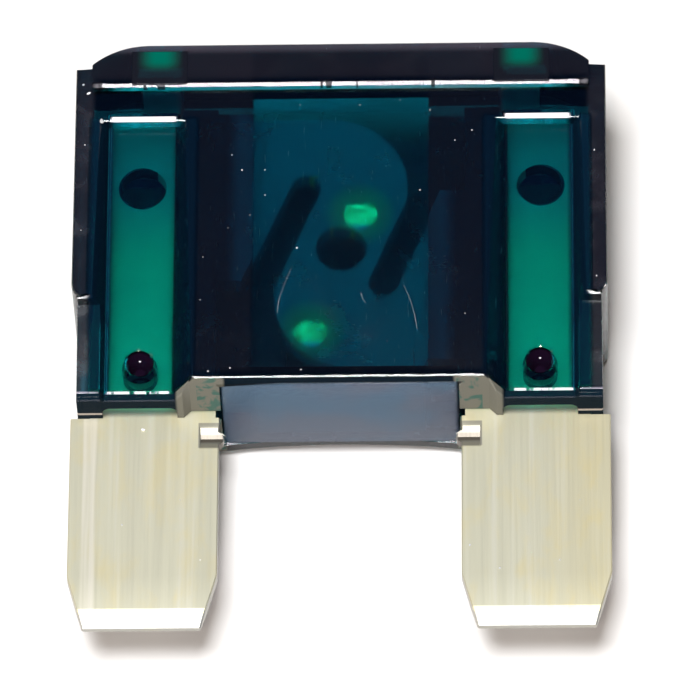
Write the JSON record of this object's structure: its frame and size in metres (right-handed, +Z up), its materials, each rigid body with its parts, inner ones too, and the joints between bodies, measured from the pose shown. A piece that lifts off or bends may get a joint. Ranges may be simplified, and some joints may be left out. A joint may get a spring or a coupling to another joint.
{
  "type": "automotive blade fuse, large size",
  "caption": "Blade fuse with two flat terminals, a clear green moulded housing and an S-shaped fusible link.",
  "frame": {"origin": "bottom centre of the bounding box, with the fuse lying on its back", "axes": "+X across the two blades, +Y from the blade tips to the cap, +Z up through the thickness, out of the front panel"},
  "size_m": [0.0292, 0.0342, 0.0089],
  "materials": {
    "clear_green": "glossy, see-through green",
    "closure_green": "glossy, see-through green",
    "plated_zinc": "satin, drawn along the blades"
  },
  "bodies": {
    "root": {"housing": "clear_green", "bottom_closure": "closure_green", "fuse_element": "plated_zinc"}
  },
  "joints": []
}
